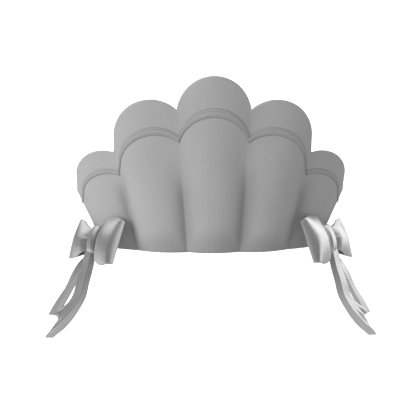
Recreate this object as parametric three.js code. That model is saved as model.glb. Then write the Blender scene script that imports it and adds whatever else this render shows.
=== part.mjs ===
// A maid's headpiece: a scalloped, fluted fan of stiffened cotton that stands up from the brow,
// a tape sewn along its scallops, a plain head band inside its lower edge, and at each end
// a satin ribbon bow with two hanging tails.
// Millimetres. +Z is up, the front faces -Y, and the wearer's left is +X.
// The origin is the middle of the head opening, level with the fan's lower edge.
import * as THREE from "three";

// The fan's foot follows the front of an ellipse round the head, and its wall flares as it rises.
const HEAD = { halfWidth: 90, halfDepth: 72 };
const FLARE = { width: 0.0041, depth: 0.0012 }; // growth of each half axis for each millimetre of height

// Cloth thicknesses, and the clearance that is left between two pieces.
const THICKNESS = { fan: 2.4, tape: 1.0, band: 2.2, loop: 1.4 };
const CLEARANCE = 0.35;

// The scallops from the middle outwards, seen from the front: the centre and radius of each round top,
// where its edge ends (at the valley before the next one, or the fan's corner), where its foot ends,
// and how far its flute stands out at the foot and at the top.
const SCALLOPS = [
  { x: 0, z: 96.8, radius: 25.9, endX: 25.8, endZ: 99.5, footEnd: 18.3, fluteFoot: 6.0, fluteTop: 2.6 },
  { x: 43.6, z: 81.0, radius: 25.9, endX: 69.8, endZ: 69.0, footEnd: 53.8, fluteFoot: 6.0, fluteTop: 2.8 },
  { x: 77.6, z: 51.2, radius: 20.2, endX: 99.2, endZ: 40.9, footEnd: 78.6, fluteFoot: 2.4, fluteTop: 2.2 },
];
const STEPS_PER_SCALLOP = 10;
const FLUTE_ROUNDNESS = 0.8; // under 1 makes a fuller flute and a sharper crease

// The tape lies between these shares of each flute's height, and the fan's other rows lie round it.
const TAPE = { low: 0.768, high: 0.822 };
const FAN_ROWS = [0, 0.09, 0.2, 0.34, 0.5, 0.64, TAPE.low, TAPE.high, 0.91, 1];

// The head band: a strip inside the foot, whose two arms run on past the fan and close in.
const BAND = { low: 1.0, high: 13.0, armRadius: 62, armTurn: THREE.MathUtils.degToRad(54), steps: 36, armSteps: 12 };

// A bow's own frame: u runs along the loops towards the front, w down the knot, and n away from the head.
const BOW = {
  centre: new THREE.Vector3(81.5, -49.45, 6.4),
  facing: THREE.MathUtils.degToRad(48), // from the front towards the side
  lean: THREE.MathUtils.degToRad(19), // the top leans in to the head
};

// A ribbon loop, from inside the knot out along the front layer and home along the back layer:
// place along u, place along n, half the ribbon's width, the depth of the gathers in it, and how far
// its two edges roll in towards the other layer, in half widths.
const LOOP = [
  { u: 0.5, n: 1.7, half: 6.2, gather: 0, roll: 0 },
  { u: 5.1, n: 1.9, half: 6.6, gather: 0.1, roll: 0.02 },
  { u: 6.6, n: 6.6, half: 10.2, gather: 0.5, roll: 0.1 },
  { u: 10.2, n: 10.9, half: 14.8, gather: 0.4, roll: 0.14 },
  { u: 16.0, n: 10.8, half: 16.8, gather: 0.2, roll: 0.1 },
  { u: 21.0, n: 7.8, half: 16.9, gather: 0, roll: 0.05 },
  { u: 24.4, n: 3.6, half: 16.2, gather: 0, roll: 0 },
  { u: 24.0, n: 0.8, half: 15.8, gather: 0, roll: 0 },
  { u: 18.0, n: -0.8, half: 15.2, gather: 0, roll: 0.02 },
  { u: 10.0, n: -1.4, half: 12.6, gather: 0.2, roll: 0.05 },
  { u: 5.1, n: -1.8, half: 6.8, gather: 0.1, roll: 0.04 },
  { u: 0.5, n: -1.7, half: 6.2, gather: 0, roll: 0 },
];
const LOOPS = {
  front: { towards: 1, length: 0.98, width: 1, drop: 0 },
  rear: { towards: -1, length: 0.94, width: 0.85, drop: 1.6 },
};
const LOOP_STEPS = 24;
const GATHERS = [0, 0.4, -1, 0.7, -0.8, 0.6, 0]; // rise and fall across the ribbon, in gather depths

// The knot: a wrap round both pinched loops, with a full round front and a flat back.
const KNOT = { innerHalf: 8.0, innerDepth: 2.6, wall: 1.4, front: 5.2, halfWidth: 3.9, steps: 28 };

// The tails, each down the middle of its folded ribbon, in millimetres out, back and up from the bow's
// centre: half the ribbon's width, and the angle that its width has turned from the bow's u to the rear.
const TAILS = {
  front: [
    { out: 5.3, back: -2.3, up: -9.7, half: 4.6, turn: 0 },
    { out: 7.5, back: -3.8, up: -19.8, half: 5.2, turn: 0 },
    { out: 10.6, back: -5.0, up: -29.8, half: 5.3, turn: 0 },
    { out: 13.3, back: -5.4, up: -39.6, half: 5.3, turn: -2 },
    { out: 18.6, back: -4.6, up: -48.4, half: 5.6, turn: -5 },
    { out: 25.6, back: -2.4, up: -55.8, half: 6.3, turn: -9 },
    { out: 32.4, back: 1.0, up: -61.6, half: 6.8, turn: -12 },
  ],
  rear: [
    { out: 3.0, back: 5.2, up: -10.5, half: 4.0, turn: 8 },
    { out: 11.9, back: 8.4, up: -19.0, half: 4.2, turn: 16 },
    { out: 17.3, back: 10.2, up: -28.0, half: 4.2, turn: 22 },
    { out: 22.5, back: 13.4, up: -37.5, half: 4.4, turn: 24 },
    { out: 28.5, back: 17.4, up: -47.5, half: 4.6, turn: 24 },
    { out: 34.4, back: 21.4, up: -57.2, half: 4.8, turn: 24 },
  ],
};
const TAIL_STEPS = 15;
const TAIL_LIFT = 3.0; // the outer face's distance outside the middle line
// A tail's section from its rear edge to its front edge: doubled ribbon, nearly flat, then folded back
// along the front into a narrow side. Its outer face, across and back, and its inner face, in half widths.
const TAIL_SECTION = [
  { across: -1, back: 0.05, innerAcross: -1, innerBack: 0.35 },
  { across: -0.55, back: 0, innerAcross: -0.55, innerBack: 0.3 },
  { across: -0.2, back: 0.07, innerAcross: -0.2, innerBack: 0.37 },
  { across: 0.2, back: 0, innerAcross: 0.12, innerBack: 0.31 },
  { across: 0.46, back: 0.02, innerAcross: 0.25, innerBack: 0.32 },
  { across: 0.54, back: 0.12, innerAcross: 0.31, innerBack: 0.37 },
  { across: 0.68, back: 0.42, innerAcross: 0.43, innerBack: 0.57 },
  { across: 0.86, back: 0.76, innerAcross: 0.6, innerBack: 0.9 },
];
// Each tail's cut end, across the ribbon in half widths, and how far it is cut beyond the last row there:
// a swallow tail whose front point is the longer. The cloth is drawn to it over the last of its length.
const TAIL_CUTS = {
  front: [
    { across: -1, beyond: -5.4 },
    { across: -0.25, beyond: -7.0 },
    { across: 0.5, beyond: 10.2 },
    { across: 0.86, beyond: 8.4 },
  ],
  rear: [
    { across: -1, beyond: 6.2 },
    { across: -0.25, beyond: 0 },
    { across: 0.5, beyond: 0 },
    { across: 0.86, beyond: -1 },
  ],
};
const CUT_REACH = 0.26; // the share of a tail's length that is drawn to its cut

const COTTON = new THREE.MeshStandardMaterial({ color: 0xa8a7a8, roughness: 0.85, metalness: 0 });
const TAPE_CLOTH = new THREE.MeshStandardMaterial({ color: 0x9c9c9c, roughness: 0.7, metalness: 0 });
const BAND_CLOTH = new THREE.MeshStandardMaterial({ color: 0x9a9a9a, roughness: 0.9, metalness: 0 });
const SATIN = new THREE.MeshStandardMaterial({ color: 0xe4e4e4, roughness: 0.4, metalness: 0 });

const { lerp } = THREE.MathUtils;

// A closed solid from a list of triangles that share their points, turned so that it faces out.
function solid(points, triangles) {
  const volume = triangles.reduce(
    (sum, [a, b, c]) => sum + points[a].dot(points[b].clone().cross(points[c])),
    0,
  );
  const facing = volume < 0 ? triangles.map(([a, b, c]) => [a, c, b]) : triangles;
  const geometry = new THREE.BufferGeometry();
  geometry.setAttribute("position", new THREE.Float32BufferAttribute(points.flatMap((p) => p.toArray()), 3));
  geometry.setIndex(facing.flat());
  geometry.computeVertexNormals();
  return geometry;
}

// A wall between two sheets of points of the same size, closed round all four sides.
function wall(outer, inner) {
  const rows = outer.length;
  const columns = outer[0].length;
  const points = [...outer.flat(), ...inner.flat()];
  const at = (sheet, i, j) => (sheet * rows + i) * columns + j;
  const triangles = [];
  const quad = (a, b, c, d) => triangles.push([a, b, c], [a, c, d]);
  for (let i = 0; i < rows - 1; i++) {
    for (let j = 0; j < columns - 1; j++) {
      quad(at(0, i, j), at(0, i + 1, j), at(0, i + 1, j + 1), at(0, i, j + 1));
      quad(at(1, i, j), at(1, i, j + 1), at(1, i + 1, j + 1), at(1, i + 1, j));
    }
  }
  for (let i = 0; i < rows - 1; i++) {
    quad(at(0, i, 0), at(1, i, 0), at(1, i + 1, 0), at(0, i + 1, 0));
    quad(at(0, i, columns - 1), at(0, i + 1, columns - 1), at(1, i + 1, columns - 1), at(1, i, columns - 1));
  }
  for (let j = 0; j < columns - 1; j++) {
    quad(at(0, 0, j), at(0, 0, j + 1), at(1, 0, j + 1), at(1, 0, j));
    quad(at(0, rows - 1, j), at(1, rows - 1, j), at(1, rows - 1, j + 1), at(0, rows - 1, j + 1));
  }
  return solid(points, triangles);
}

// A ring of closed sections, each a list of points, joined section to section and round to the first.
function ring(sections) {
  const count = sections.length;
  const size = sections[0].length;
  const triangles = [];
  for (let i = 0; i < count; i++) {
    for (let j = 0; j < size; j++) {
      const [a, b] = [i * size + j, i * size + ((j + 1) % size)];
      const [c, d] = [((i + 1) % count) * size + ((j + 1) % size), ((i + 1) % count) * size + j];
      triangles.push([a, b, c], [a, c, d]);
    }
  }
  return solid(sections.flat(), triangles);
}

function named(name, geometry, material) {
  const mesh = new THREE.Mesh(geometry, material);
  mesh.name = name;
  return mesh;
}

// Values of a table's columns at a share of the way down it, on one smooth curve through its rows.
function tableCurve(table, keys) {
  const curves = [];
  for (let k = 0; k < keys.length; k += 3) {
    const part = keys.slice(k, k + 3);
    curves.push({
      part,
      curve: new THREE.CatmullRomCurve3(
        table.map((row) => new THREE.Vector3(...part.map((key) => row[key]), ...Array(3 - part.length).fill(0))),
        false,
        "catmullrom",
        0.5,
      ),
    });
  }
  return (share) =>
    Object.assign(
      {},
      ...curves.map(({ part, curve }) => {
        const values = curve.getPoint(share).toArray();
        return Object.fromEntries(part.map((key, i) => [key, values[i]]));
      }),
    );
}

// A scallop's edge at a share of the way along it: an arc down to its widest point, or to its end
// where that is higher, and below its widest point a straight side.
function scallopEdge({ x, z, radius, endX, endZ }, startAngle, share) {
  const endAngle = Math.max(0, Math.atan2(endZ - z, endX - x));
  const arc = radius * (startAngle - endAngle);
  const side = Math.max(0, z - endZ);
  const along = share * (arc + side);
  const angle = startAngle - Math.min(along, arc) / radius;
  const onArc = { x: x + radius * Math.cos(angle), z: z + radius * Math.sin(angle) };
  if (along <= arc) return onArc;
  const down = (along - arc) / side;
  return { x: lerp(onArc.x, endX, down), z: lerp(onArc.z, endZ, down) };
}

// The fan's columns from its middle to one end: where each starts at the foot, where it ends on the
// scalloped edge, and how far its flute stands out there.
function halfColumns() {
  const columns = [];
  SCALLOPS.forEach((scallop, i) => {
    const before = SCALLOPS[i - 1];
    const startAngle = before ? Math.atan2(before.endZ - scallop.z, before.endX - scallop.x) : Math.PI / 2;
    const steps = before ? STEPS_PER_SCALLOP : STEPS_PER_SCALLOP / 2;
    for (let step = before ? 1 : 0; step <= steps; step++) {
      const share = step / steps;
      const edge = scallopEdge(scallop, startAngle, share);
      const acrossFlute = before ? share : 0.5 + share / 2;
      const fullness = Math.max(0, Math.sin(Math.PI * acrossFlute)) ** FLUTE_ROUNDNESS;
      columns.push({
        footX: lerp(before ? before.footEnd : 0, scallop.footEnd, share),
        topX: edge.x,
        topZ: edge.z,
        fluteFoot: scallop.fluteFoot * fullness,
        fluteTop: scallop.fluteTop * fullness,
      });
    }
  });
  return columns;
}

function fanColumns() {
  const half = halfColumns();
  const mirrored = half.slice(1).reverse().map((c) => ({ ...c, footX: -c.footX, topX: -c.topX }));
  return [...mirrored, ...half];
}

// The point of the fan's wall on a column, at a share of its height and a distance outside its face.
function fanPoint(column, share, outside) {
  const x = lerp(column.footX, column.topX, share);
  const z = column.topZ * share;
  const halfWidth = HEAD.halfWidth * (1 + FLARE.width * z);
  const halfDepth = HEAD.halfDepth * (1 + FLARE.depth * z);
  const y = -halfDepth * Math.sqrt(1 - (x / halfWidth) ** 2);
  const outwards = new THREE.Vector3(x / halfWidth ** 2, y / halfDepth ** 2, 0).normalize();
  const flute = lerp(column.fluteFoot, column.fluteTop, Math.sqrt(share));
  return new THREE.Vector3(x, y, z).addScaledVector(outwards, flute + outside);
}

function fan() {
  const sheet = (outside) => fanColumns().map((c) => FAN_ROWS.map((share) => fanPoint(c, share, outside)));
  return named("scalloped_fan", wall(sheet(0), sheet(-THICKNESS.fan)), COTTON);
}

function scallopTape() {
  const sheet = (outside) =>
    fanColumns().map((c) => [TAPE.low, TAPE.high].map((share) => fanPoint(c, share, outside)));
  return named("scallop_tape", wall(sheet(CLEARANCE + THICKNESS.tape), sheet(CLEARANCE)), TAPE_CLOTH);
}

// The band's outer line in plan with its outward direction: the ellipse inside the fan's foot,
// then an arc that carries each arm on and closes it in.
function bandLine() {
  const inset = THICKNESS.fan + CLEARANCE;
  const end = Math.asin(SCALLOPS.at(-1).footEnd / HEAD.halfWidth);
  const line = [];
  for (let i = 0; i <= BAND.steps / 2; i++) {
    const angle = (end * i) / (BAND.steps / 2);
    const outwards = new THREE.Vector2(
      Math.sin(angle) / HEAD.halfWidth,
      -Math.cos(angle) / HEAD.halfDepth,
    ).normalize();
    const place = new THREE.Vector2(HEAD.halfWidth * Math.sin(angle), -HEAD.halfDepth * Math.cos(angle));
    line.push({ place: place.addScaledVector(outwards, -inset), outwards });
  }
  const { place, outwards } = line.at(-1);
  const centre = place.clone().addScaledVector(outwards, -BAND.armRadius);
  for (let i = 1; i <= BAND.armSteps; i++) {
    const turned = outwards.clone().rotateAround(new THREE.Vector2(), (BAND.armTurn * i) / BAND.armSteps);
    line.push({ place: centre.clone().addScaledVector(turned, BAND.armRadius), outwards: turned });
  }
  const mirror = (v) => new THREE.Vector2(-v.x, v.y);
  const mirrored = line.slice(1).reverse().map((p) => ({ place: mirror(p.place), outwards: mirror(p.outwards) }));
  return [...mirrored, ...line];
}

function headBand() {
  const sheet = (inside) =>
    bandLine().map(({ place, outwards }) => {
      const p = place.clone().addScaledVector(outwards, -inside);
      return [BAND.low, BAND.high].map((z) => new THREE.Vector3(p.x, p.y, z));
    });
  return named("head_band", wall(sheet(0), sheet(THICKNESS.band)), BAND_CLOTH);
}

// One ribbon loop in the bow's frame.
function loop({ towards, length, width, drop }) {
  const valuesAt = tableCurve(LOOP, ["u", "n", "half", "gather", "roll"]);
  const pinched = LOOP[1].u;
  const line = Array.from({ length: LOOP_STEPS + 1 }, (_, i) => {
    const { u, n, half, gather, roll } = valuesAt(i / LOOP_STEPS);
    const free = THREE.MathUtils.clamp((u - pinched) / pinched, 0, 1);
    return {
      u: u < pinched ? u : lerp(pinched, u, length),
      n: n * length,
      half: half * lerp(1, width, free),
      middle: drop * free,
      gather,
      roll,
    };
  });
  const inwards = line.map((_, i) => {
    const [a, b] = [line[Math.max(0, i - 1)], line[Math.min(LOOP_STEPS, i + 1)]];
    return new THREE.Vector2(b.n - a.n, a.u - b.u).normalize();
  });
  const sheet = (inside) =>
    line.map(({ u, n, half, middle, gather, roll }, i) =>
      GATHERS.map((rise, j) => {
        const across = (2 * j) / (GATHERS.length - 1) - 1;
        const sunk = inside - gather * rise;
        const rolled = roll * half * across ** 2;
        return new THREE.Vector3(
          towards * (u + inwards[i].x * sunk),
          half * across + middle,
          n + inwards[i].y * (sunk + rolled),
        );
      }),
    );
  return wall(sheet(0), sheet(THICKNESS.loop));
}

// The knot's wrap: a long rounded ring round w and n, thick and round in front.
function knot() {
  const straight = KNOT.innerHalf - KNOT.innerDepth;
  const profile = [
    { u: -1, full: 0 },
    { u: 1, full: 0 },
    { u: 1, full: 0.55 },
    { u: 0.62, full: 0.9 },
    { u: 0, full: 1 },
    { u: -0.62, full: 0.9 },
    { u: -1, full: 0.55 },
  ];
  const sections = Array.from({ length: KNOT.steps }, (_, i) => {
    const angle = (2 * Math.PI * i) / KNOT.steps;
    const [w, n] = [Math.sin(angle), Math.cos(angle)];
    const middle = THREE.MathUtils.clamp(w * 1.9, -1, 1) * straight;
    const thick = KNOT.wall + KNOT.front * Math.max(0, n) ** 1.5;
    return profile.map(
      ({ u, full }) =>
        new THREE.Vector3(
          u * KNOT.halfWidth,
          middle + w * (KNOT.innerDepth + full * thick),
          n * (KNOT.innerDepth + full * thick),
        ),
    );
  });
  return ring(sections);
}

// A table of two columns read at a value of its first one, with straight lines between its rows.
function readTable(table, [from, to], value) {
  const i = Math.max(1, table.findIndex((row) => value <= row[from]));
  const [a, b] = [table[i - 1], table[i]];
  return lerp(a[to], b[to], (value - a[from]) / (b[from] - a[from]));
}

// One tail, set out from the bow's centre along the object's own axes.
function tail(table, cut) {
  const valuesAt = tableCurve(table, ["out", "back", "up", "half", "turn"]);
  const line = Array.from({ length: TAIL_STEPS + 1 }, (_, i) => valuesAt(i / TAIL_STEPS));
  const place = line.map(({ out, back, up }) => new THREE.Vector3(out, back, up).add(BOW.centre));
  const sections = (acrossKey, backKey) =>
    line.map(({ half, turn }, i) => {
      const along = place[Math.min(TAIL_STEPS, i + 1)].clone().sub(place[Math.max(0, i - 1)]).normalize();
      const heading = BOW.facing + THREE.MathUtils.degToRad(turn);
      const towardsFront = new THREE.Vector3(-Math.cos(heading), -Math.sin(heading), 0);
      const across = towardsFront.addScaledVector(along, -towardsFront.dot(along)).normalize();
      const backwards = along.clone().cross(across).normalize();
      const nearEnd = Math.max(0, 1 - (1 - i / TAIL_STEPS) / CUT_REACH);
      return TAIL_SECTION.map((point) =>
        place[i]
          .clone()
          .addScaledVector(across, half * point[acrossKey])
          .addScaledVector(backwards, half * point[backKey] - TAIL_LIFT)
          .addScaledVector(along, readTable(cut, ["across", "beyond"], point.across) * nearEnd),
      );
    });
  return wall(sections("across", "back"), sections("innerAcross", "innerBack"));
}

// One bow with its tails, on the wearer's left. Side names its pieces.
function bow(side) {
  const group = new THREE.Group();
  const tied = new THREE.Group();
  const outwards = new THREE.Vector3(Math.sin(BOW.facing), -Math.cos(BOW.facing), 0);
  const u = new THREE.Vector3(-Math.cos(BOW.facing), -Math.sin(BOW.facing), 0);
  const n = outwards.multiplyScalar(Math.cos(BOW.lean)).add(new THREE.Vector3(0, 0, Math.sin(BOW.lean)));
  const w = n.clone().cross(u).normalize();
  tied.quaternion.setFromRotationMatrix(new THREE.Matrix4().makeBasis(u, w, n));
  tied.position.copy(BOW.centre);
  tied.add(
    named(`${side}_bow_front_loop`, loop(LOOPS.front), SATIN),
    named(`${side}_bow_rear_loop`, loop(LOOPS.rear), SATIN),
    named(`${side}_bow_knot`, knot(), SATIN),
  );
  group.add(
    tied,
    named(`${side}_bow_front_tail`, tail(TAILS.front, TAIL_CUTS.front), SATIN),
    named(`${side}_bow_rear_tail`, tail(TAILS.rear, TAIL_CUTS.rear), SATIN),
  );
  return group;
}

const headpiece = new THREE.Group();
const rightBow = bow("right");
rightBow.scale.x = -1;
headpiece.add(fan(), scallopTape(), headBand(), bow("left"), rightBow);

export default headpiece;
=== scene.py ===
"""A maid's headpiece: a starched, scalloped fan with a sewn tape, an inner band, and two satin bows."""

import math

import bpy
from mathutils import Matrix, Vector, noise


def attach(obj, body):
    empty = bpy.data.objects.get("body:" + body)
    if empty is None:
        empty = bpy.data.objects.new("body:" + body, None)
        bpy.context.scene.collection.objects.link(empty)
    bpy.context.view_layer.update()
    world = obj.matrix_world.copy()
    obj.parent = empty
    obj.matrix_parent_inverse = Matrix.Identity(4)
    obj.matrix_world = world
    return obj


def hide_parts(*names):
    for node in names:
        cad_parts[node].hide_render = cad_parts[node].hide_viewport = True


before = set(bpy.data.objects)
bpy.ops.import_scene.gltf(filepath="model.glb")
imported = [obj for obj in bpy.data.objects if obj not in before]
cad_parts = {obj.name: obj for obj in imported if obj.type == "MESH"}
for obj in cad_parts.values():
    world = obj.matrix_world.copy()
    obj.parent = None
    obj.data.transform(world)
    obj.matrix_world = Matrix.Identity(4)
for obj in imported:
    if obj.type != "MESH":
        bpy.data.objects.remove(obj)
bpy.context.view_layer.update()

MM = 0.001
FULL_TURN = 2 * math.pi

# Sizes are in millimetres unless a line says otherwise. +Z is up, the front faces -Y, and the
# wearer's left is +X.

# The fan's wall stands on an ellipse round the head, and flares by these shares for each millimetre up.
HEAD_HALF_WIDTH, HEAD_HALF_DEPTH = 90, 72
FLARE_WIDTH, FLARE_DEPTH = 0.0041, 0.0012
FAN_THICKNESS = 1.8
# How rounded the flutes are at the foot and at the top, where a higher number softens the valleys
# between them, and the shares of the height between which one becomes the other.
FOOT_ROUNDNESS, TOP_ROUNDNESS = 1.05, 1.9
ROUNDNESS_CHANGE = (0.3, 0.65)
# Each scallop's arc, the place where it meets the next one, the end of its foot, and its flute's depth
# at the foot and at the top.
SCALLOPS = [
    dict(x=0, z=96.8, radius=25.9, end_x=25.8, end_z=99.5, foot_end=18.3, foot=6.0, top=2.6),
    dict(x=43.6, z=81.0, radius=25.9, end_x=69.8, end_z=69.0, foot_end=53.8, foot=6.0, top=2.8),
    dict(x=77.6, z=51.2, radius=20.2, end_x=99.2, end_z=40.9, foot_end=78.6, foot=2.4, top=2.2),
]
FLUTES_ACROSS = 2 * len(SCALLOPS) - 1
OUTER_FLUTE = len(SCALLOPS) - 1

# The fan's handwork. Heights and widths are shares of the fan's height or of a flute's width.
FOOT_TUCK = dict(height=0.11, depth=1.9)  # the foot is drawn in where it is sewn
FOOT_PUCKER = dict(height=0.08, depth=0.16, count=9)
EDGE_SWELL = dict(height=0.03, depth=0.22)  # the turned upper edge
SLACK = dict(scale=0.035, depth=0.3, from_foot=0.2, from_edge=0.06)  # cloth that isn't quite even
CREASE = dict(width=0.055, shadow=0.16, depth=0.5)  # pressed in between two flutes; shadow is the width of its painted shadow
CREASE_FADES = {"inner": (0.36, 0.66), "outer": (0.52, 0.8)}
# The folded edge of the flute next to the outer one, which lies over the outer crease.
CREASE_LIP = dict(place=0.055, width=0.022, depth=0.4, fades=(0.6, 0.75))
# How much painted shade darkens the sewn foot, how high that reaches, and where the creases' painted
# shade takes over.
FOOT_SHADOW = dict(depth=0.75, height=0.2, crease_start=0.1)

TAPE_LOW, TAPE_HIGH = 0.768, 0.822
TAPE_LIFT, TAPE_THICKNESS = 0.52, 0.3
TAPE_EDGE = dict(width=0.2, lift=0.16)
TAPE_BED = 0.09  # the fan's face is smooth under the tape, and loose again this far from its middle
TAPE_ROWS = {"low": 0.27, "high": 0.7}  # its two rows of stitches, in shares of its width
TAPE_THREAD = dict(spacing=2.4, length=1.9, width=0.36, height=0.26)

BAND_LOW, BAND_HIGH = 1.0, 13.0
BAND_INSET, BAND_THICKNESS = 2.75, 2.2
BAND_FRONT_SHARE = 0.62  # of the band's length, that lies inside the fan's foot
BAND_ARM_RADIUS, BAND_ARM_TURN = 62, math.radians(54)

BOW_CENTRE = Vector((81.5, -49.45, 6.4))
BOW_FACING, BOW_LEAN = math.radians(48), math.radians(22)
BOW_OUT = Vector((math.sin(BOW_FACING), -math.cos(BOW_FACING), 0))
BOW_ALONG = Vector((-math.cos(BOW_FACING), -math.sin(BOW_FACING), 0))
BOW_NORMAL = BOW_OUT * math.cos(BOW_LEAN) + Vector((0, 0, math.sin(BOW_LEAN)))
BOW_DOWN = BOW_NORMAL.cross(BOW_ALONG).normalized()

# The way of a loop's ribbon, out from the knot and back. Each row is its place along the bow and out of
# it, half the ribbon's width, the depth of its gathers, and how far its edges roll in, in half widths.
LOOP = [
    (0.5, 1.7, 6.2, 0, 0),
    (5.1, 1.9, 6.6, 0.1, 0.02),
    (6.6, 6.6, 12.0, 0.5, 0.24),
    (10.2, 10.9, 17.2, 0.4, 0.36),
    (16.0, 11.2, 18.4, 0.2, 0.36),
    (21.7, 8.8, 17.4, 0, 0.22),
    (24.6, 3.5, 16.2, 0, 0.02),
    (24.0, 0.8, 15.8, 0, 0),
    (18.0, -0.8, 15.2, 0, 0.02),
    (10.0, -1.4, 12.6, 0.2, 0.05),
    (5.1, -1.8, 6.8, 0.1, 0.04),
    (0.5, -1.7, 6.2, 0, 0),
]
# The rear loop opens more slowly, like a cone, and its edges close over its back.
REAR_LOOP = [
    (0.5, 1.7, 6.2, 0, 0),
    (5.1, 1.9, 6.8, 0.1, 0.02),
    (7.5, 5.2, 9.4, 0.5, 0.2),
    (11.5, 8.6, 12.8, 0.4, 0.34),
    (16.5, 9.6, 16.4, 0.2, 0.36),
    (21.4, 7.9, 17.7, 0, 0.2),
    (24.8, 3.6, 17.8, 0, 0),
    (24.4, 0.8, 17.0, 0, 0),
    (18.0, -0.8, 14.0, 0, 0.02),
    (10.0, -1.4, 10.6, 0.2, 0.05),
    (5.1, -1.8, 6.8, 0.1, 0.04),
    (0.5, -1.7, 6.2, 0, 0),
]
PINCHED = LOOP[1][0]  # the knot holds each loop up to here
# Which way each loop goes along the bow, its shares of the rows' length and width, and how far its
# middle hangs down.
LOOPS = {
    "front_loop": dict(rows=LOOP, towards=1, length=0.98, width=1, drop=0),
    "rear_loop": dict(rows=REAR_LOOP, towards=-1, length=0.94, width=0.85, drop=1.6),
}
LOOP_THICKNESS = 0.8
GATHERS = [(0,), (0.4,), (-1,), (0.7,), (-0.8,), (0.6,), (0,)]  # from edge to edge of the ribbon
GATHER_SHARE = 0.12  # pressed satin keeps little of its gathers
FINE_GATHERS = dict(depth=0.05, reach=13, across=15, start=1.2)  # small waves beside the knot

# The wrap's half length and depth inside, its wall, how much thicker it is in front, its half width,
# how its ring is drawn out straight, and the powers that swell its front and square its section.
KNOT = dict(inner_half=8.0, inner_depth=2.6, wall=1.4, front=5.2, half_width=3.5)
KNOT_ROUNDING = dict(straight=1.9, front=1.5, sideways=0.75, full=0.6)
KNOT_FOLDS = dict(depth=0.025, count=3.4, start=0.7, fade=0.5, sunk=0.05)

TAIL_LIFT = 3.0
TAIL_LAYERS = [(0, 0.42), (0.55, 0.42)]  # place between the outer and inner faces, and thickness
# Down the middle of each tail: out, back and up from the bow's centre, half width, and turn in degrees.
TAILS = {
    "front_tail": [
        (4.0, -1.6, -6.2, 3.7, 0),
        (5.3, -2.3, -9.7, 4.6, 0),
        (7.5, -3.8, -19.8, 5.2, 0),
        (10.6, -5.0, -29.8, 5.3, 0),
        (13.3, -5.4, -39.6, 5.3, -2),
        (18.6, -4.6, -48.4, 5.6, -7),
        (25.6, -2.4, -55.8, 6.5, -14),
        (32.4, 1.0, -61.6, 7.1, -20),
    ],
    "rear_tail": [
        (0.4, 3.4, -6.4, 3.4, 4),
        (3.0, 5.2, -10.5, 4.0, 8),
        (11.9, 8.4, -19.0, 4.2, 16),
        (17.3, 10.2, -28.0, 4.2, 22),
        (22.5, 13.4, -37.5, 4.4, 24),
        (28.5, 17.4, -47.5, 4.6, 24),
        (34.4, 21.4, -57.2, 4.8, 24),
    ],
}
# Each tail's section from its rear edge to its front edge, in half widths: the outer face across and
# back, then the inner face. The front tail has a soft face with two pressed-in folds, a crease, and a
# narrow side behind it. The rear tail has an outer strip, a sharper crease, and its side turned inwards.
TAIL_SECTIONS = {
    "front_tail": [
        (-1, 0.05, -1, 0.35),
        (-0.72, 0, -0.72, 0.3),
        (-0.45, 0.09, -0.45, 0.39),
        (-0.2, 0.02, -0.2, 0.33),
        (0.05, 0.1, 0.03, 0.37),
        (0.3, 0, 0.17, 0.31),
        (0.46, 0.02, 0.25, 0.32),
        (0.54, 0.12, 0.31, 0.37),
        (0.68, 0.42, 0.43, 0.57),
        (0.86, 0.76, 0.6, 0.9),
    ],
    "rear_tail": [
        (-1, 0, -1, 0.3),
        (-0.7, 0.1, -0.78, 0.39),
        (-0.4, 0.24, -0.5, 0.52),
        (-0.1, 0.34, -0.22, 0.62),
        (0.12, 0.45, -0.06, 0.7),
        (0.22, 0.53, -0.05, 0.76),
        (0.25, 0.64, -0.06, 0.84),
        (0.24, 0.88, -0.06, 0.98),
        (0.22, 1.14, -0.08, 1.2),
    ],
}
# Each tail's swallow-tailed cut: a share of the way round its section, and how far the ribbon goes
# beyond the last row there.
TAIL_CUTS = {
    "front_tail": [(0, -5.4), (0.33, -7.0), (0.64, 11.4), (1, 9.0)],
    "rear_tail": [(0, 6.2), (0.6, 1.5), (0.7, 0), (1, -3)],
}
TAIL_CUT_REACH = 0.22  # the share of a tail's length that is drawn to its cut
TAIL_RIPPLE = dict(count=2.5, depth=0.3, start=0.25)

# The cloth's cut sizes for its weave, along and across. A tail's ribbon is laid double.
FAN_CUT, TAPE_CUT, BAND_CUT, KNOT_CUT = (290, 122), (290, 6.5), (300, 12), (58, 22)
RIBBON_CUTS = {
    "front_loop": (58, 33),
    "rear_loop": (54, 28),
    "front_tail": (72, 15),
    "rear_tail": (68, 10),
}

# How finely each sheet is divided, across and up it.
FAN_GRID, TAPE_GRID, BAND_GRID, LOOP_GRID, TAIL_GRID = (230, 38), (400, 8), (240, 10), (76, 28), (64, 30)
KNOT_RING, KNOT_SECTION = 72, 36
STITCH_LINE_STEPS = 1600
SLOPE_STEP = 0.02  # the share of a ribbon's length over which its direction is taken

FRONT = Vector((0, -1, 0))


def clamp(value, low=0.0, high=1.0):
    return max(low, min(high, value))


def lerp(a, b, share):
    return a + (b - a) * share


def ease(value):
    value = clamp(value)
    return value * value * (3 - 2 * value)


def signed_power(value, exponent):
    return math.copysign(abs(value) ** exponent, value)


def curve_at(table, share):
    """A table's columns at a share of the way down it, on one smooth curve through its rows."""
    last = len(table) - 1
    place = clamp(share) * last
    i = min(int(place), last - 1)
    t = place - i

    def row(k):
        if k < 0:
            return [2 * a - b for a, b in zip(table[0], table[1])]
        if k > last:
            return [2 * a - b for a, b in zip(table[last], table[last - 1])]
        return table[k]

    values = []
    for p0, p1, p2, p3 in zip(row(i - 1), row(i), row(i + 1), row(i + 2)):
        start, end = (p2 - p0) / 2, (p3 - p1) / 2
        square = 3 * (p2 - p1) - 2 * start - end
        cube = 2 * (p1 - p2) + start + end
        values.append(p1 + start * t + square * t**2 + cube * t**3)
    return values


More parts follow.
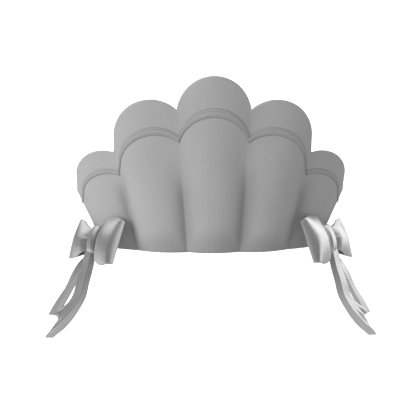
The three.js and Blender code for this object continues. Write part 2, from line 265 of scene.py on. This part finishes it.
def table_at(table, x):
    """A two-column table read at x along its first column, in straight lines from row to row."""
    for (x0, y0), (x1, y1) in zip(table, table[1:]):
        if x <= x1:
            return lerp(y0, y1, clamp((x - x0) / (x1 - x0)))
    return table[-1][1]


def deselect():
    bpy.ops.object.select_all(action="DESELECT")


def rename(piece, name):
    piece.name = name
    piece.data.name = name
    return piece


def mirrored_point(point, mirrored):
    return Vector((-point.x if mirrored else point.x, point.y, point.z))


def stretch_map(mesh, cut):
    """Makes a piece's own map as large as the cloth it is cut from, in millimetres."""
    for corner in mesh.uv_layers.active.data:
        corner.uv = (corner.uv.x * cut[0], corner.uv.y * cut[1])


def subdivide_smoothly(piece):
    """Rounds a piece by one subdivision, and applies all of its modifiers."""
    rounding = piece.modifiers.new("rounding", "SUBSURF")
    rounding.levels = rounding.render_levels = 1
    deselect()
    piece.select_set(True)
    bpy.context.view_layer.objects.active = piece
    for modifier in list(piece.modifiers):
        bpy.ops.object.modifier_apply(modifier=modifier.name)
    bpy.ops.object.shade_smooth()
    return piece


def cloth(name, grid, place, facing, cut, mirrored=False, painted_shade=None):
    """A grid shaped into a sheet. place(a, b) is its point at shares across and up it, and facing a
    direction that its face looks in at its middle. The last argument, a function of (a, b), gives each
    point's painted shade from 0 to 1, which is kept with the points."""
    columns, rows = grid
    deselect()
    bpy.ops.mesh.primitive_grid_add(x_subdivisions=columns, y_subdivisions=rows, size=1, calc_uvs=True)
    piece = rename(bpy.context.object, name)
    mesh = piece.data
    painted_shades = mesh.attributes.new("painted_shade", "FLOAT", "POINT").data
    for vertex in mesh.vertices:
        a, b = vertex.co.x + 0.5, vertex.co.y + 0.5
        vertex.co = mirrored_point(place(a, b), mirrored) * MM
        painted_shades[vertex.index].value = painted_shade(a, b) if painted_shade else 0.0
    stretch_map(mesh, cut)
    mesh.update()
    middle = mesh.polygons[(rows // 2) * columns + columns // 2].normal
    if middle.dot(mirrored_point(facing, mirrored)) < 0:
        mesh.flip_normals()
    return piece


def thicken(piece, thickness, even=True):
    """Gives a sheet its thickness behind its face, and rounds its edges. Even keeps the thickness over
    sharp bends."""
    wall = piece.modifiers.new("wall", "SOLIDIFY")
    wall.thickness = thickness * MM
    wall.offset = -1
    wall.use_even_offset = even
    wall.use_quality_normals = True
    return subdivide_smoothly(piece)


def join(pieces, name):
    deselect()
    for piece in pieces:
        piece.select_set(True)
    bpy.context.view_layer.objects.active = pieces[0]
    bpy.ops.object.join()
    return rename(pieces[0], name)


def scallop_edge(scallop, start_angle, share):
    """The scalloped edge at a share of the way along one scallop: its round top, then a straight side."""
    x, z, radius = scallop["x"], scallop["z"], scallop["radius"]
    end_angle = max(0, math.atan2(scallop["end_z"] - z, scallop["end_x"] - x))
    arc = radius * (start_angle - end_angle)
    side = max(0, z - scallop["end_z"])
    along = share * (arc + side)
    angle = start_angle - min(along, arc) / radius
    on_arc = (x + radius * math.cos(angle), z + radius * math.sin(angle))
    if along <= arc:
        return on_arc
    down = (along - arc) / side
    return lerp(on_arc[0], scallop["end_x"], down), lerp(on_arc[1], scallop["end_z"], down)


def fan_column(across):
    """The fan's column at a share of the way across it: its foot and top, its flute's depth at both,
    and its place in the flute."""
    turned = FLUTES_ACROSS * across - FLUTES_ACROSS / 2
    side = -1 if turned < 0 else 1
    turned = abs(turned)
    i = min(int(turned + 0.5), OUTER_FLUTE)
    scallop = SCALLOPS[i]
    if i == 0:
        share, start_angle, foot_start = 2 * turned, math.pi / 2, 0
        across_flute = 0.5 + share / 2
    else:
        before = SCALLOPS[i - 1]
        share = turned + 0.5 - i
        start_angle = math.atan2(before["end_z"] - scallop["z"], before["end_x"] - scallop["x"])
        foot_start = before["foot_end"]
        across_flute = share
    top_x, top_z = scallop_edge(scallop, start_angle, share)
    return dict(
        foot_x=side * lerp(foot_start, scallop["foot_end"], share),
        top_x=side * top_x,
        top_z=top_z,
        foot=scallop["foot"],
        top=scallop["top"],
        fullness=max(0, math.sin(math.pi * across_flute)),
        across_flute=across_flute,
        flute=i,
    )


def fan_point(across, share, outside=0.0):
    """A point of the fan's plain fluted wall, at shares across and up it, and so far outside it."""
    column = fan_column(across)
    x = lerp(column["foot_x"], column["top_x"], share)
    z = column["top_z"] * share
    half_width = HEAD_HALF_WIDTH * (1 + FLARE_WIDTH * z)
    half_depth = HEAD_HALF_DEPTH * (1 + FLARE_DEPTH * z)
    y = -half_depth * math.sqrt(1 - (x / half_width) ** 2)
    outwards = Vector((x / half_width**2, y / half_depth**2, 0)).normalized()
    start, end = ROUNDNESS_CHANGE
    roundness = lerp(FOOT_ROUNDNESS, TOP_ROUNDNESS, ease((share - start) / (end - start)))
    depth = lerp(column["foot"], column["top"], math.sqrt(share))
    return Vector((x, y, z)) + outwards * (depth * column["fullness"] ** roundness + outside)


def fade(share, fades):
    """1 below the first height, 0 above the second."""
    start, end = fades
    return 1 - ease((share - start) / (end - start))


def crease_share(column, share, width):
    """How far a point of the fan lies in a crease, from 0 to 1."""
    flute, across_flute = column["flute"], column["across_flute"]
    to_next = 1 - across_flute if flute < OUTER_FLUTE else 1
    to_last = across_flute if flute > 0 else 1
    outer = flute == OUTER_FLUTE or (flute == OUTER_FLUTE - 1 and to_next < to_last)
    near = math.exp(-((min(to_next, to_last) / width) ** 2))
    return near * fade(share, CREASE_FADES["outer" if outer else "inner"])


def fan_cloth(across, share):
    """The fan's face: creases pressed between its flutes, its foot drawn in, and a turned upper edge."""
    column = fan_column(across)
    pucker = 0.5 - 0.5 * math.cos(FULL_TURN * FOOT_PUCKER["count"] * column["across_flute"])
    lift = FOOT_PUCKER["depth"] * pucker * ease(1 - share / FOOT_PUCKER["height"])
    lift += EDGE_SWELL["depth"] * ease(1 - (1 - share) / EDGE_SWELL["height"])
    free = ease(share / SLACK["from_foot"]) * ease((1 - share) / SLACK["from_edge"])
    lift += noise.noise(fan_point(across, share) * SLACK["scale"]) * SLACK["depth"] * free
    lift -= CREASE["depth"] * crease_share(column, share, CREASE["width"])
    lift -= FOOT_TUCK["depth"] * column["fullness"] * ease(1 - share / FOOT_TUCK["height"])
    if column["flute"] == OUTER_FLUTE - 1 and column["across_flute"] > 0.5:
        from_lip = (1 - column["across_flute"] - CREASE_LIP["place"]) / CREASE_LIP["width"]
        lift += CREASE_LIP["depth"] * math.exp(-(from_lip**2)) * fade(share, CREASE_LIP["fades"])
    near_tape = max(0.0, 1 - abs(share - (TAPE_LOW + TAPE_HIGH) / 2) / TAPE_BED)
    return fan_point(across, share, lerp(lift, 0, ease(2 * near_tape)))


def fan_painted_shade(across, share):
    """How much painted shade darkens a point of the fan, in a crease or down at the sewn foot."""
    foot = FOOT_SHADOW["depth"] * ease(1 - share / FOOT_SHADOW["height"])
    start = ease(share / FOOT_SHADOW["crease_start"])
    crease = crease_share(fan_column(across), share, CREASE["shadow"])
    return clamp(max(foot, start * crease + foot * (1 - start)))


def tape_cloth(across, up):
    """The tape's face: full along its middle and drawn down at both sewn edges."""
    full = ease(min(up, 1 - up) / TAPE_EDGE["width"])
    return fan_point(across, lerp(TAPE_LOW, TAPE_HIGH, up), lerp(TAPE_EDGE["lift"], TAPE_LIFT, full))


def tape_line(up):
    """A row of stitches on the tape: points along it, and the way out of the tape at each."""
    path = []
    share = lerp(TAPE_LOW, TAPE_HIGH, up)
    for i in range(STITCH_LINE_STEPS + 1):
        across = i / STITCH_LINE_STEPS
        point = fan_point(across, share, TAPE_LIFT)
        path.append((point, fan_point(across, share, TAPE_LIFT + 1) - point))
    return path


def stitches(name, path, spacing, length, width, height):
    """A row of stitches, one bead of thread after another."""
    deselect()
    bpy.ops.mesh.primitive_uv_sphere_add(segments=8, ring_count=6, radius=0.5)
    bead = bpy.context.object
    pieces = []
    gone = 0.0
    due = spacing / 2
    for (a, up_a), (b, _) in zip(path, path[1:]):
        step = (b - a).length
        while due <= gone + step:
            at = a.lerp(b, (due - gone) / step)
            along = (b - a).normalized()
            out = (up_a - along * up_a.dot(along)).normalized()
            sideways = out.cross(along)
            copy = bead.copy()
            copy.data = bead.data.copy()
            bpy.context.collection.objects.link(copy)
            for vertex in copy.data.vertices:
                p = vertex.co
                vertex.co = (at + along * p.z * length + sideways * p.x * width + out * p.y * height) * MM
            pieces.append(copy)
            due += spacing
        gone += step
    bpy.data.objects.remove(bead)
    made = join(pieces, name)
    bpy.ops.object.shade_smooth()
    return made


def band_point(share, up):
    """The band's outer face: the ellipse inside the fan's foot, then the arc of each arm."""
    end = math.asin(SCALLOPS[-1]["foot_end"] / HEAD_HALF_WIDTH)
    gone = abs(2 * share - 1)
    angle = end * min(1, gone / BAND_FRONT_SHARE)
    across, back = math.sin(angle), -math.cos(angle)
    outwards = Vector((across / HEAD_HALF_WIDTH, back / HEAD_HALF_DEPTH, 0)).normalized()
    place = Vector((HEAD_HALF_WIDTH * across, HEAD_HALF_DEPTH * back, 0)) - outwards * BAND_INSET
    if gone > BAND_FRONT_SHARE:
        centre = place - outwards * BAND_ARM_RADIUS
        turn = BAND_ARM_TURN * (gone - BAND_FRONT_SHARE) / (1 - BAND_FRONT_SHARE)
        cosine, sine = math.cos(turn), math.sin(turn)
        x, y, _ = outwards
        place = centre + Vector((x * cosine - y * sine, x * sine + y * cosine, 0)) * BAND_ARM_RADIUS
    return mirrored_point(Vector((place.x, place.y, lerp(BAND_LOW, BAND_HIGH, up))), share < 0.5)


def bow_point(u, w, n):
    """A point of the left bow: along it, down it and out of it from its centre."""
    return BOW_CENTRE + BOW_ALONG * u + BOW_DOWN * w + BOW_NORMAL * n


def loop_place(rows, towards, length, width, drop):
    """One loop of the left bow, at shares along its ribbon and across it."""

    def line(s):
        u, n, half, gather, roll = curve_at(rows, s)
        free = clamp((u - PINCHED) / PINCHED)
        shown_u = u if u < PINCHED else lerp(PINCHED, u, length)
        return shown_u, n * length, half * lerp(1, width, free), drop * free, gather, roll

    def place(s, t):
        u, n, half, middle, gather, roll = line(s)
        before, after = line(max(0, s - SLOPE_STEP)), line(min(1, s + SLOPE_STEP))
        inwards = Vector((after[1] - before[1], before[0] - after[0])).normalized()
        across = 2 * t - 1
        near_knot = ease(1 - (u - PINCHED) / FINE_GATHERS["reach"])
        wave = math.sin(FINE_GATHERS["across"] * across + FINE_GATHERS["start"])
        fine = FINE_GATHERS["depth"] * near_knot * wave * (1 - across**4)
        sunk = -GATHER_SHARE * gather * curve_at(GATHERS, (across + 1) / 2)[0] - fine
        rolled = roll * half * across**2
        return bow_point(
            towards * (u + inwards.x * sunk),
            half * across + middle,
            n + inwards.y * (sunk + rolled),
        )

    return place


def knot(name, mirrored):
    """The knot's wrap, from a ring: thick and round in front, with folds running along the ribbon."""
    deselect()
    bpy.ops.mesh.primitive_torus_add(
        major_segments=KNOT_RING, minor_segments=KNOT_SECTION, major_radius=1, minor_radius=0.5
    )
    piece = rename(bpy.context.object, name)
    straight = KNOT["inner_half"] - KNOT["inner_depth"]
    for vertex in piece.data.vertices:
        x, y, z = vertex.co
        around = math.atan2(x, y)
        section = math.atan2(z, math.hypot(x, y) - 1)
        w, n = math.sin(around), math.cos(around)
        middle = clamp(w * KNOT_ROUNDING["straight"], -1, 1) * straight
        thick = KNOT["wall"] + KNOT["front"] * max(0, n) ** KNOT_ROUNDING["front"]
        sideways = signed_power(math.sin(section), KNOT_ROUNDING["sideways"])
        full = 0.5 + 0.5 * signed_power(math.cos(section), KNOT_ROUNDING["full"])
        outside = ease(2 * full - 1)
        wave = math.cos(KNOT_FOLDS["count"] * math.pi * sideways + KNOT_FOLDS["start"])
        folds = KNOT_FOLDS["depth"] * wave * outside * max(0, n) ** KNOT_FOLDS["fade"]
        reach = KNOT["inner_depth"] + (full + folds - KNOT_FOLDS["sunk"] * outside) * thick
        point = bow_point(sideways * KNOT["half_width"], middle + w * reach, n * reach)
        vertex.co = mirrored_point(point, mirrored) * MM
    stretch_map(piece.data, KNOT_CUT)
    bpy.ops.object.mode_set(mode="EDIT")
    bpy.ops.mesh.select_all(action="SELECT")
    bpy.ops.mesh.normals_make_consistent(inside=False)
    bpy.ops.object.mode_set(mode="OBJECT")
    return subdivide_smoothly(piece)


def section_at(section, t, depth):
    """A point of a tail's folded section, across and back, at a share of the way round it and a share
    of the way from its outer to its inner face."""
    reach = [0.0]
    for a, b in zip(section, section[1:]):
        reach.append(reach[-1] + math.hypot(b[0] - a[0], b[1] - a[1]))
    place = clamp(t) * reach[-1]
    i = max(1, next(k for k, r in enumerate(reach) if place <= r + 1e-9))
    share = (i - 1 + (place - reach[i - 1]) / (reach[i] - reach[i - 1])) / (len(reach) - 1)
    outer_across, outer_back, inner_across, inner_back = curve_at(section, share)
    return lerp(outer_across, inner_across, depth), lerp(outer_back, inner_back, depth)


def tail_place(part, depth):
    """One layer of the left bow's tail, at a share of the way from its outer to its inner face."""

    def at(s):
        out, back, up, half, turn = curve_at(TAILS[part], s)
        return BOW_CENTRE + Vector((out, back, up)), half, turn

    def place(s, t):
        point, half, turn = at(s)
        along = (at(min(1, s + SLOPE_STEP))[0] - at(max(0, s - SLOPE_STEP))[0]).normalized()
        heading = BOW_FACING + math.radians(turn)
        front = Vector((-math.cos(heading), -math.sin(heading), 0))
        across_way = (front - along * front.dot(along)).normalized()
        backwards = along.cross(across_way).normalized()
        across, behind = section_at(TAIL_SECTIONS[part], t, depth)
        beyond = table_at(TAIL_CUTS[part], t) * max(0, 1 - (1 - s) / TAIL_CUT_REACH)
        wave = math.sin(FULL_TURN * TAIL_RIPPLE["count"] * s) * ease(s / TAIL_RIPPLE["start"])
        behind_line = half * behind + TAIL_RIPPLE["depth"] * wave * across - TAIL_LIFT
        return point + across_way * (half * across) + backwards * behind_line + along * beyond

    return place


fan = cloth("fan_cloth", FAN_GRID, fan_cloth, FRONT, FAN_CUT, painted_shade=fan_painted_shade)
thicken(fan, FAN_THICKNESS, even=False)
tape = cloth("tape_cloth", TAPE_GRID, tape_cloth, FRONT, TAPE_CUT)
thicken(tape, TAPE_THICKNESS)
tape_thread = join(
    [stitches(row, tape_line(up), **TAPE_THREAD) for row, up in TAPE_ROWS.items()], "tape_stitches"
)
band = cloth("band_cloth", BAND_GRID, band_point, FRONT, BAND_CUT)
thicken(band, BAND_THICKNESS)

bows = {}
for side, mirrored in (("left", False), ("right", True)):
    for part, spec in LOOPS.items():
        facing = BOW_ALONG * spec["towards"]
        name = f"{side}_{part}_ribbon"
        ribbon = cloth(name, LOOP_GRID, loop_place(**spec), facing, RIBBON_CUTS[part], mirrored)
        bows[side, part] = thicken(ribbon, LOOP_THICKNESS)
    bows[side, "knot"] = knot(f"{side}_knot_wrap", mirrored)
    for part in TAILS:
        layers = []
        for i, (depth, thickness) in enumerate(TAIL_LAYERS):
            shape = tail_place(part, depth)
            layer = cloth(f"{side}_{part}_{i}", TAIL_GRID, shape, BOW_OUT, RIBBON_CUTS[part], mirrored)
            layers.append(thicken(layer, thickness, even=False))
        bows[side, part] = join(layers, f"{side}_{part}_ribbon")

COTTON_TONE, TAPE_TONE, BAND_TONE, SATIN_TONE, THREAD_TONE = 178, 172, 168, 220, 126
# The first is painted shade in the fan's creases and at its foot; the second darkens the tapes' edge
# lines, sewn lines with painted shadow.
PAINTED_SHADE_TONES, EDGE_LINE_AND_SHADOW, SELVEDGE_SHADE = 26, 32, 16  # how many tones darker than the cloth
SATIN_GLOSS = 0.88
COTTON_THREAD, TAPE_RIB, BAND_RIB = 0.42, 0.7, 1.1
# How far in from the edge the tape's dark line, a sewn line with painted shadow, and the satin's selvedge
# begin, and are full.
SEWN_AND_SHADOW_EDGE, SELVEDGE = (0.95, 0.3), (1.1, 0.8)
KNOT_WIDTH = 60  # wider than the knot, so that no selvedge shows on it


class Wire:
    """A value in a material's nodes. Arithmetic on it adds Math nodes."""

    def __init__(self, finish, socket):
        self.finish = finish
        self.socket = socket

    def maths(self, operation, *values):
        return self.finish.node("ShaderNodeMath", {"operation": operation}, *values)

    def __add__(self, other):
        return self.maths("ADD", self, other)

    def __sub__(self, other):
        return self.maths("SUBTRACT", self, other)

    def __rsub__(self, other):
        return self.maths("SUBTRACT", other, self)

    def __mul__(self, other):
        return self.maths("MULTIPLY", self, other)

    def __truediv__(self, other):
        return self.maths("DIVIDE", self, other)

    __radd__ = __add__
    __rmul__ = __mul__

    def __abs__(self):
        return self.maths("ABSOLUTE", self)

    def sine(self):
        return self.maths("SINE", self)

    def between(self, low, high):
        settings = {"interpolation_type": "SMOOTHSTEP", "clamp": True}
        return self.finish.node("ShaderNodeMapRange", settings, self, low, high, 0.0, 1.0)


class Finish:
    """A material made of nodes, on one Principled shader."""

    def __init__(self, name, **fixed):
        self.material = bpy.data.materials.new(name)
        self.material.use_nodes = True
        self.tree = self.material.node_tree
        self.shader = self.tree.nodes["Principled BSDF"]
        for socket, value in fixed.items():
            self.shader.inputs[socket.replace("_", " ")].default_value = value

    def node(self, kind, settings, *values, out=0, numbered=None, **named):
        """A new node: its settings, then its sockets in order, by number, or by name."""
        made = self.tree.nodes.new(kind)
        for key, value in settings.items():
            setattr(made, key, value)
        slots = dict(enumerate(values)) | (numbered or {})
        slots |= {key.replace("_", " "): value for key, value in named.items()}
        for slot, value in slots.items():
            if isinstance(value, Wire):
                self.tree.links.new(value.socket, made.inputs[slot])
            else:
                made.inputs[slot].default_value = value
        return Wire(self, made.outputs[out])

    def feed(self, socket, wire):
        self.tree.links.new(wire.socket, self.shader.inputs[socket])

    def own_map(self):
        """The piece's own map, and its millimetres along and across the cloth."""
        uv = self.node("ShaderNodeTexCoord", {}, out="UV")
        return uv, *(self.node("ShaderNodeSeparateXYZ", {}, uv, out=axis) for axis in ("X", "Y"))

    def place(self):
        """The place on the object, in metres."""
        return self.node("ShaderNodeTexCoord", {}, out="Object")

    def mottle(self, where, scale, detail=3.0):
        return self.node("ShaderNodeTexNoise", {}, where, Scale=scale, Detail=detail, Roughness=0.55)

    def cloud(self, scale):
        """Broad unevenness of the cloth, by its changes per metre."""
        return self.mottle(self.place(), scale)

    def streaks(self, uv, along, across, detail=2.0):
        """Noise drawn out along or across the cloth, as yarns are, by its changes per millimetre."""
        return self.mottle(self.node("ShaderNodeMapping", {}, uv, Scale=(along, across, 1)), 1.0, detail)

    def painted_shade(self):
        """How much painted shade darkens the cloth, from the piece's own attribute."""
        return self.node("ShaderNodeAttribute", {"attribute_name": "painted_shade"}, out="Fac")

    def mix(self, share, low, high):
        """One colour of two, by a share."""
        factor, first, second, result = 0, 6, 7, 2
        sockets = {factor: share, first: low, second: high}
        return self.node("ShaderNodeMix", {"data_type": "RGBA"}, out=result, numbered=sockets)

    def bump(self, height, distance, strength=1.0, **under):
        """A relief of so many millimetres, over another one where Normal= is given."""
        sockets = dict(Height=height, Distance=distance * MM, Strength=strength)
        return self.node("ShaderNodeBump", {}, **sockets, **under)


def grey(tone):
    """A neutral linear colour from a 0 to 255 screen tone."""
    linear = ((tone / 255 + 0.055) / 1.055) ** 2.4
    return (linear, linear, linear, 1)


def cotton(name, tone):
    """Starched plain-weave cotton, its warp upright, with painted shade in its creases and at its foot.
    """
    finish = Finish(name, Roughness=0.82, Sheen_Weight=0.2, Sheen_Roughness=0.5, Specular_IOR_Level=0.2)
    uv, u, v = finish.own_map()
    threads = FULL_TURN / (2 * COTTON_THREAD)
    weave = (u * threads).sine() * (v * threads).sine()
    warp = finish.streaks(uv, 0.9, 0.02)
    slub = finish.streaks(uv, 0.25, 2.6)
    cloud = finish.cloud(34.0)
    shade = cloud * 0.45 + slub * 0.2 + warp * 0.28 + weave * 0.07
    unshaded = finish.mix(shade.between(0.25, 0.75), grey(tone - 4), grey(tone + 4))
    # Painted shade in the creases and at the foot, uneven with the cloud.
    painted_darkening = finish.painted_shade() * (0.75 + cloud * 0.5)
    finish.feed("Base Color", finish.mix(painted_darkening, unshaded, grey(tone - PAINTED_SHADE_TONES)))
    finish.feed("Roughness", 0.74 + slub * 0.16)
    soft = finish.bump(cloud, 0.5, 0.4)
    finish.feed("Normal", finish.bump(weave * 0.5 + slub * 0.5 + warp * 0.4, 0.07, 0.8, Normal=soft))
    return finish.material


def grosgrain(name, tone, width, rib):
    """Ribbed tape, its ribs across its length, with a dark line along both edges: a sewn line and painted
    shadow.
    """
    finish = Finish(name, Roughness=0.7, Sheen_Weight=0.15, Specular_IOR_Level=0.3)
    _, u, v = finish.own_map()
    ribs = (u * (FULL_TURN / rib)).sine() * 0.5 + 0.5
    cloud = finish.cloud(60.0)
    woven = finish.mix(ribs * 0.4 + cloud * 0.6, grey(tone - 6), grey(tone + 5))
    sewn_line_and_shadow = abs(v - width / 2).between(*(width / 2 - inset for inset in SEWN_AND_SHADOW_EDGE))
    # The dark line along each edge is a sewn line with painted shadow.
    finish.feed("Base Color", finish.mix(sewn_line_and_shadow, woven, grey(tone - EDGE_LINE_AND_SHADOW)))
    finish.feed("Roughness", 0.62 + cloud * 0.16)
    finish.feed("Normal", finish.bump(ribs, 0.12, 0.7))
    return finish.material


def satin(name, tone, width):
    """Satin ribbon: fine floats along it that catch the light, and a tight selvedge at both edges."""
    finish = Finish(
        name, Metallic=SATIN_GLOSS, Specular_IOR_Level=0.5, Sheen_Weight=0.1, Sheen_Roughness=0.3
    )
    uv, _, v = finish.own_map()
    floats = finish.streaks(uv, 0.1, 4.0, 3.0)
    broad = finish.streaks(uv, 0.03, 0.45)
    cloud = finish.cloud(90.0)
    selvedge = abs(v - width / 2).between(*(width / 2 - inset for inset in SELVEDGE))
    shade = floats * 0.4 + broad * 0.35 + cloud * 0.25
    face = finish.mix(shade.between(0.25, 0.75), grey(tone - 8), grey(tone + 8))
    finish.feed("Base Color", finish.mix(selvedge * 0.6, face, grey(tone - SELVEDGE_SHADE)))
    finish.feed("Roughness", 0.27 + floats * 0.14 + selvedge * 0.12)
    soft = finish.bump(cloud * 0.6 + broad * 0.6, 0.5, 0.35)
    finish.feed("Normal", finish.bump(floats * 0.8 - selvedge * 0.8, 0.06, 0.7, Normal=soft))
    return finish.material


def sewing_thread(name, tone):
    """Twisted thread."""
    finish = Finish(name, Roughness=0.6, Sheen_Weight=0.2)
    twist = finish.node("ShaderNodeTexWave", {}, finish.place(), Scale=900.0, Distortion=2.0)
    finish.feed("Base Color", finish.mix(twist, grey(tone - 12), grey(tone + 8)))
    finish.feed("Normal", finish.bump(twist, 0.05, 0.5))
    return finish.material


FINISHES = {
    "cotton": cotton("starched cotton", COTTON_TONE),
    "tape": grosgrain("woven tape", TAPE_TONE, TAPE_CUT[1], TAPE_RIB),
    "band": grosgrain("head band", BAND_TONE, BAND_CUT[1], BAND_RIB),
    "knot satin": satin("knot satin", SATIN_TONE, KNOT_WIDTH),
    "thread": sewing_thread("sewing thread", THREAD_TONE),
}
for part, (_, width) in RIBBON_CUTS.items():
    FINISHES[f"{part} satin"] = satin(f"{part.replace('_', ' ')} satin", SATIN_TONE, width)


def dress(piece, finish, slot, *nodes):
    piece.data.materials.clear()
    piece.data.materials.append(FINISHES[finish])
    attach(piece, "root")
    if nodes:
        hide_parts(*nodes)


dress(fan, "cotton", "cotton", "scalloped_fan")
dress(tape, "tape", "tape", "scallop_tape")
dress(tape_thread, "thread", "tape")
dress(band, "band", "band", "head_band")
for (side, part), piece in bows.items():
    dress(piece, f"{part} satin", "satin", f"{side}_bow_{part}")

for (side, part), piece in bows.items():
    if part == "knot":
        continue
    length, width = RIBBON_CUTS[part]
    part in LOOPS

# The stage, in metres.
WORLD_LIGHT = 0.56
FLOOR_SIZE, FLOOR_HEIGHT, FLOOR_GLOW = 12, -0.09, 1.0
BACKDROP_RADIUS, BACKDROP_GLOW = 5.5, 1.05
ROOM_RADIUS = 5.0
ROOM_DIMNESS = 0.1
# Each bright part of the room that the satin mirrors: its strength, and from where to where it grows
# brighter each way, in shares of the room's radius.
ROOM_LIGHTS = [
    (0.92, dict(up=(0.42, 0.85))),
    (0.4, dict(down=(0, 0.6))),
    (1.2, dict(right=(0.4, 0.9), up=(-0.4, 0.3))),
    (0.34, dict(left=(0.35, 0.85), down=(-0.5, 0.3))),
    (0.1, dict(back=(0.1, 0.7))),
]

CAMERA_TARGET = Vector((0, -0.020, 0.035))
CAMERA_DISTANCE, NEAREST_SEEN = 0.75, 0.02
CAMERA_TURN, CAMERA_RISE = math.radians(2.51), math.radians(4.31)
FOCAL_PIXELS, IMAGE_PIXELS = 1000, 420
TARGET_AT = (210.36, 197.63)  # the target's place in the photo, in pixels

world = bpy.data.worlds.new("soft room")
bpy.context.scene.world = world
world.use_nodes = True
world.node_tree.nodes["Background"].inputs["Color"].default_value = (1, 1, 1, 1)
world.node_tree.nodes["Background"].inputs["Strength"].default_value = WORLD_LIGHT
world.cycles_visibility.glossy = False
bpy.context.scene.view_settings.view_transform = "Standard"


def glowing(name, strength):
    """A pale, evenly lit material of the stage."""
    finish = Finish(
        name,
        Base_Color=(0.9, 0.9, 0.9, 1),
        Roughness=0.9,
        Emission_Color=(1, 1, 1, 1),
        Emission_Strength=strength,
    )
    return finish.material


def room(name):
    """What satin mirrors: a bright right side and ceiling, a pale floor, and a dim front."""
    finish = Finish(name, Base_Color=(0, 0, 0, 1), Roughness=1.0, Emission_Strength=1.0)
    x, y, z = (
        finish.node("ShaderNodeSeparateXYZ", {}, finish.place(), out=axis) / ROOM_RADIUS
        for axis in ("X", "Y", "Z")
    )
    ways = dict(right=x, left=0 - x, back=y, up=z, down=0 - z)
    light = ROOM_DIMNESS
    for strength, growths in ROOM_LIGHTS:
        glow = strength
        for way, (start, end) in growths.items():
            glow = ways[way].between(start, end) * glow
        light = light + glow
    finish.feed("Emission Color", light)
    return finish.material


def stage_piece(name, material, visible_camera, visible_glossy):
    """Names the shape just added, and keeps its light and shadow off the cloth."""
    piece = rename(bpy.context.object, name)
    piece.data.materials.append(material)
    piece.visible_camera = visible_camera
    piece.visible_glossy = visible_glossy
    piece.visible_diffuse = False
    piece.visible_shadow = False
    return piece


def softbox(name, place, aim, size, power):
    """A round soft light that lights cloth but isn't mirrored in satin."""
    light = bpy.data.lights.new(name, "AREA")
    light.shape = "DISK"
    light.size = size
    light.energy = power
    lamp = bpy.data.objects.new(name, light)
    bpy.context.collection.objects.link(lamp)
    lamp.location = place
    lamp.rotation_euler = (Vector(aim) - Vector(place)).to_track_quat("-Z", "Y").to_euler()
    lamp.visible_glossy = False


deselect()
bpy.ops.mesh.primitive_plane_add(size=FLOOR_SIZE, location=(0, 0, FLOOR_HEIGHT))
floor = stage_piece("floor", glowing("pale floor", FLOOR_GLOW), True, False)
deselect()
bpy.ops.mesh.primitive_uv_sphere_add(segments=48, ring_count=24, radius=BACKDROP_RADIUS)
backdrop = stage_piece("backdrop", glowing("pale backdrop", BACKDROP_GLOW), True, False)
deselect()
bpy.ops.mesh.primitive_uv_sphere_add(segments=96, ring_count=48, radius=ROOM_RADIUS)
walls = stage_piece("studio_walls", room("studio walls"), False, True)

softbox("left softbox", place=(-1.36, -0.74, 0.45), aim=(0, -0.05, 0.04), size=0.9, power=16)

camera_data = bpy.data.cameras.new("camera")
camera_data.lens = camera_data.sensor_width * FOCAL_PIXELS / IMAGE_PIXELS
camera_data.clip_start = NEAREST_SEEN
camera = bpy.data.objects.new("camera", camera_data)
bpy.context.collection.objects.link(camera)
towards_camera = Vector(
    (
        -math.sin(CAMERA_TURN) * math.cos(CAMERA_RISE),
        -math.cos(CAMERA_TURN) * math.cos(CAMERA_RISE),
        math.sin(CAMERA_RISE),
    )
)
right = Vector((0, 0, 1)).cross(towards_camera).normalized()
up = towards_camera.cross(right)
per_pixel = CAMERA_DISTANCE / FOCAL_PIXELS
aim = (
    CAMERA_TARGET
    - right * (TARGET_AT[0] - IMAGE_PIXELS / 2) * per_pixel
    + up * (TARGET_AT[1] - IMAGE_PIXELS / 2) * per_pixel
)
camera.location = CAMERA_TARGET + towards_camera * CAMERA_DISTANCE
camera.rotation_euler = (aim - camera.location).to_track_quat("-Z", "Y").to_euler()
bpy.context.scene.camera = camera
